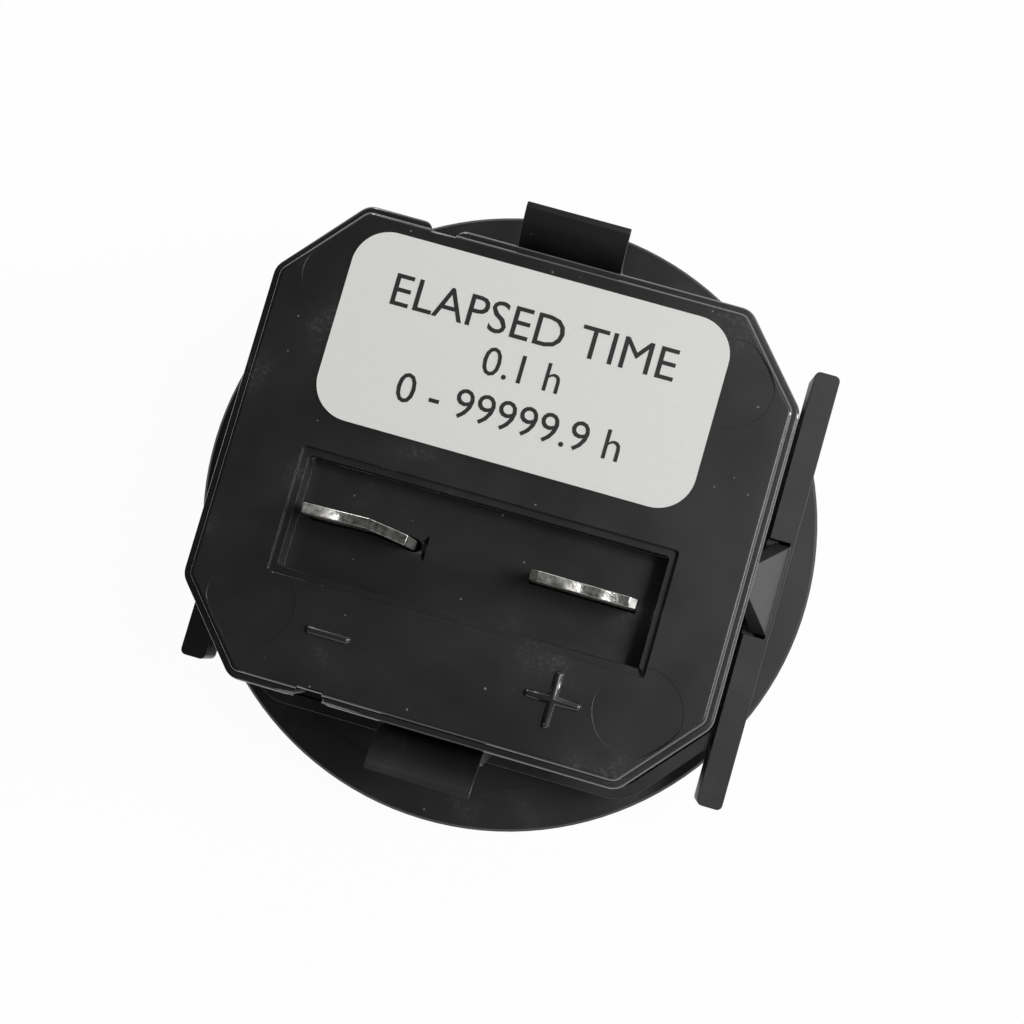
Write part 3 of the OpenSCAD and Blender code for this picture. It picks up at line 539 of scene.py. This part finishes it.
def laminated_paper(name):
    """Laminated paper: white with a faint fibre, and a half-gloss film that cockles over 9 mm."""
    made, tree, shader = new_material(name)
    place = (add(tree, "TexCoord"), "Object")
    fibre = add(tree, "TexNoise", {"Vector": place, "Scale": 1 / (0.5 * MM), "Detail": 4.0})
    cockle = add(tree, "TexNoise", {"Vector": place, "Scale": 1 / (9 * MM)})
    tint = add(tree, "MixRGB", {"Fac": (fibre, "Fac"), "Color1": linear("#e2e3df"),
                                "Color2": linear("#e8e8e5")})
    wave = add(tree, "Bump", {"Height": (cockle, "Fac"), "Strength": 0.25, "Distance": 0.05 * MM})
    feed(tree, shader, {"Base Color": (tint, "Color"), "Normal": (wave, "Normal"), "Roughness": 0.45})
    return made


dress("label", laminated_paper("white_laminated_paper"))
black_ink = printed("black_label_ink", "#222222", rough=0.5)
label_low, label_high = (np.array(corner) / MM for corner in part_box("label"))
label_mid = (label_low + label_high) / 2
LABEL_INK = 0.5 * INK
# Words, their height, and their y from the middle of the label
LABEL_LINES = (("ELAPSED TIME", 2.6, 3.4), ("0.1 h", 2.3, -0.1), ("0 - 99999.9 h", 2.4, -3.9))
for words, tall, up in LABEL_LINES:
    glyphs, outlines = lettering(words, tall)
    spot = np.array([label_mid[0], label_mid[1] + up, label_high[2]])
    surface("label_print_" + words.replace(" ", "_"), glyphs * np.array([1, 1, LABEL_INK]) + spot, outlines,
            black_ink, "case")


# Terminal blades: brass strip, tin plated, blanked so that the cut ends are torn and dented.
# They stand in slots in the pocket of the cover, and the negative one was bent in use.

def tin_plate(name):
    """Scuffed tin plate: bright grey metal, calm on the rolled faces. The cut ends, which look up, have
    dull pits 0.5 mm wide and dents 3.2 mm wide."""
    made, tree, shader = new_material(name)
    place = (add(tree, "TexCoord"), "Object")
    pit = add(tree, "TexNoise", {"Vector": place, "Scale": 1 / (0.5 * MM), "Detail": 3.0})
    dent = add(tree, "TexNoise", {"Vector": place, "Scale": 1 / (3.2 * MM), "Detail": 1.0})
    upward = add(tree, "SeparateXYZ", {"Vector": (add(tree, "NewGeometry"), "Normal")})
    cut = add(tree, "MapRange", {"Value": (upward, "Z"), "From Min": 0.5, "From Max": 0.9, "To Min": 0.08})
    calm = add(tree, "MapRange", {"Value": (upward, "Z"), "From Min": 0.5, "From Max": 0.9,
                                  "To Min": 0.75, "To Max": 0.0})
    bare = add(tree, "MapRange", {"Value": (pit, "Fac"), "From Min": 0.36, "From Max": 0.6,
                                  "To Min": (calm, "Result")})
    plate = add(tree, "MixRGB", {"Fac": (bare, "Result"), "Color1": linear("#97958f"),
                                 "Color2": linear("#dcdbd7")})
    press = add(tree, "Bump", {"Height": (dent, "Fac"), "Strength": (cut, "Result"), "Distance": 0.7 * MM})
    scuff = add(tree, "Bump", {"Height": (pit, "Fac"), "Strength": (cut, "Result"), "Distance": 0.03 * MM,
                               "Normal": (press, "Normal")})
    sheen = add(tree, "MapRange", {"Value": (dent, "Fac"), "From Min": 0.35, "From Max": 0.65,
                                   "To Min": 0.22, "To Max": 0.45})
    feed(tree, shader, {"Base Color": (plate, "Color"), "Roughness": (sheen, "Result"),
                        "Normal": (scuff, "Normal"), "Metallic": 1.0})
    return made


BLADE_EDGE = 0.06
tin = tin_plate("scuffed_tin_plate")
softened("terminal_positive", BLADE_EDGE, tin)
softened("terminal_negative", BLADE_EDGE, tin)


# Mounting bracket: one moulding of black nylon, with side bars, ring, finger arms and spring pawls.
# It is pushed over the case from behind, and its pawls catch the racks on the sides.

BRACKET_EDGE = 0.1
nylon = moulded_plastic("black_nylon_bracket", "#1b1b1b", "#222222", rough=0.38, dust=0.4)
softened("bracket", BRACKET_EDGE, nylon)


# Table: a plain white board, three metres wide, that the meter lies on.
# To the camera, in gloss and through glass it is nearly plain white, with a trace of the shadow.

TABLE_HALF = 1.5
TABLE_WHITE = 0.96   # share of plain white in what the camera sees


def stage_sheet(name, corners, material):
    """A flat sheet through four corners, in metres."""
    mesh = bpy.data.meshes.new(name)
    mesh.from_pydata(corners, [], [(0, 1, 2, 3)])
    mesh.materials.append(material)
    sheet = bpy.data.objects.new(name, mesh)
    bpy.context.scene.collection.objects.link(sheet)
    return sheet


def white_board(name):
    """White board: matt, and lit by itself for rays from the camera, from gloss and through glass."""
    made, tree, shader = new_material(name)
    feed(tree, shader, {"Base Color": linear("#f8f8f8"), "Roughness": 0.9})
    ray = add(tree, "LightPath")
    seen = add(tree, "Math", {0: (ray, "Is Camera Ray"), 1: (ray, "Is Glossy Ray")}, operation="MAXIMUM")
    shown = add(tree, "Math", {0: (seen, "Value"), 1: (ray, "Is Transmission Ray")}, operation="MAXIMUM")
    part = add(tree, "Math", {0: (shown, "Value"), 1: TABLE_WHITE}, operation="MULTIPLY")
    bright = add(tree, "Emission", {"Strength": 1.0})
    blend = add(tree, "MixShader", {0: (part, "Value"), 1: (shader, "BSDF"), 2: (bright, "Emission")})
    feed(tree, tree.nodes["Material Output"], {"Surface": (blend, "Shader")})
    return made


stage_sheet("table", [(-TABLE_HALF, -TABLE_HALF, 0), (TABLE_HALF, -TABLE_HALF, 0),
                      (TABLE_HALF, TABLE_HALF, 0), (-TABLE_HALF, TABLE_HALF, 0)], white_board("white_table"))


# Room: pale walls round the table, brighter on the right, under a darker ceiling.
# It is a world whose light fades with height and from right to left.

RIGHT = (0.961, 0.277, 0.0)   # direction to the right in the picture
world = bpy.data.worlds.new("studio")
bpy.context.scene.world = world
world.use_nodes = True
sky = world.node_tree
heading = (add(sky, "TexCoord"), "Generated")
toward = add(sky, "SeparateXYZ", {"Vector": heading})
fade = add(sky, "MapRange", {"Value": (toward, "Z"), "From Min": 0.2, "From Max": 0.8,
                             "To Min": 1.0, "To Max": 0.12})
turned = add(sky, "VectorMath", {0: heading, 1: RIGHT}, operation="DOT_PRODUCT")
lit = add(sky, "MapRange", {"Value": (turned, "Value"), "From Min": -0.8, "From Max": 0.8,
                            "To Min": 0.45, "To Max": 1.25})
wall = add(sky, "Math", {0: (fade, "Result"), 1: (lit, "Result")}, operation="MULTIPLY")
feed(sky, sky.nodes["Background"], {"Color": (1.0, 1.0, 1.0, 1.0), "Strength": (wall, "Value")})


# Lamps: a square soft box high on the right, and two narrow strips low down at the right and the top.
# The strips draw the bright lines along the rubbed rim.

AIM = Vector((0, 0, 0.03))


def softbox(name, spot, wide, tall, watts):
    """An area lamp, wide by tall, at spot, in metres, pointed at the middle of the meter."""
    lamp = bpy.data.lights.new(name, "AREA")
    lamp.shape = "RECTANGLE"
    lamp.energy = watts
    lamp.size = wide
    lamp.size_y = tall
    made = bpy.data.objects.new(name, lamp)
    made.location = spot
    made.rotation_euler = (AIM - Vector(spot)).to_track_quat("-Z", "Y").to_euler()
    bpy.context.scene.collection.objects.link(made)


softbox("key_right", (0.29, 0.085, 0.55), 0.22, 0.22, 1.65)
softbox("strip_right", (0.45, 0.13, 0.17), 0.05, 0.2, 0.8)
softbox("strip_top", (-0.13, 0.45, 0.17), 0.05, 0.2, 0.3)


# Dark card: a sheet of black felt that stands on the table at the left, out of the picture.
# Only reflections see it, so the left side of the rim stays dark.

CARD_AWAY, CARD_HALF, CARD_HIGH = 0.062, 0.09, 0.16
UP = (-0.277, 0.961, 0.0)     # direction to the top of the picture
card_foot = -CARD_AWAY * np.array(RIGHT) + CARD_HALF * np.outer((-1, 1), UP)
card_head = card_foot[::-1] + np.array([0, 0, CARD_HIGH])
felt, felt_tree, felt_shader = new_material("black_felt")
feed(felt_tree, felt_shader, {"Base Color": linear("#101010"), "Roughness": 1.0})
card = stage_sheet("dark_card", [*card_foot.tolist(), *card_head.tolist()], felt)
card.visible_camera = False
card.visible_diffuse = False
card.visible_shadow = False
card.visible_transmission = False


# Camera: looks down on the rear of the meter from about 135 mm above it.
# Its place, turn and lens were fitted to the corners of the case in the photograph.

EYE = (0.010954, -0.009956, 0.168943)
EYE_TURN_DEG = (4.5815, 2.4692, 16.0706)
LENS_LENGTH, SENSOR = 61.48, 36
LENS_SHIFT = (-0.00303, 0.0026)
NEAREST = 0.01
camera = bpy.data.objects.new("camera", bpy.data.cameras.new("camera"))
camera.location = EYE
camera.rotation_euler = [math.radians(turn) for turn in EYE_TURN_DEG]
camera.data.sensor_width = SENSOR
camera.data.lens = LENS_LENGTH
camera.data.shift_x, camera.data.shift_y = LENS_SHIFT
camera.data.clip_start = NEAREST
bpy.context.scene.collection.objects.link(camera)
bpy.context.scene.camera = camera
bpy.context.scene.view_settings.view_transform = "Standard"
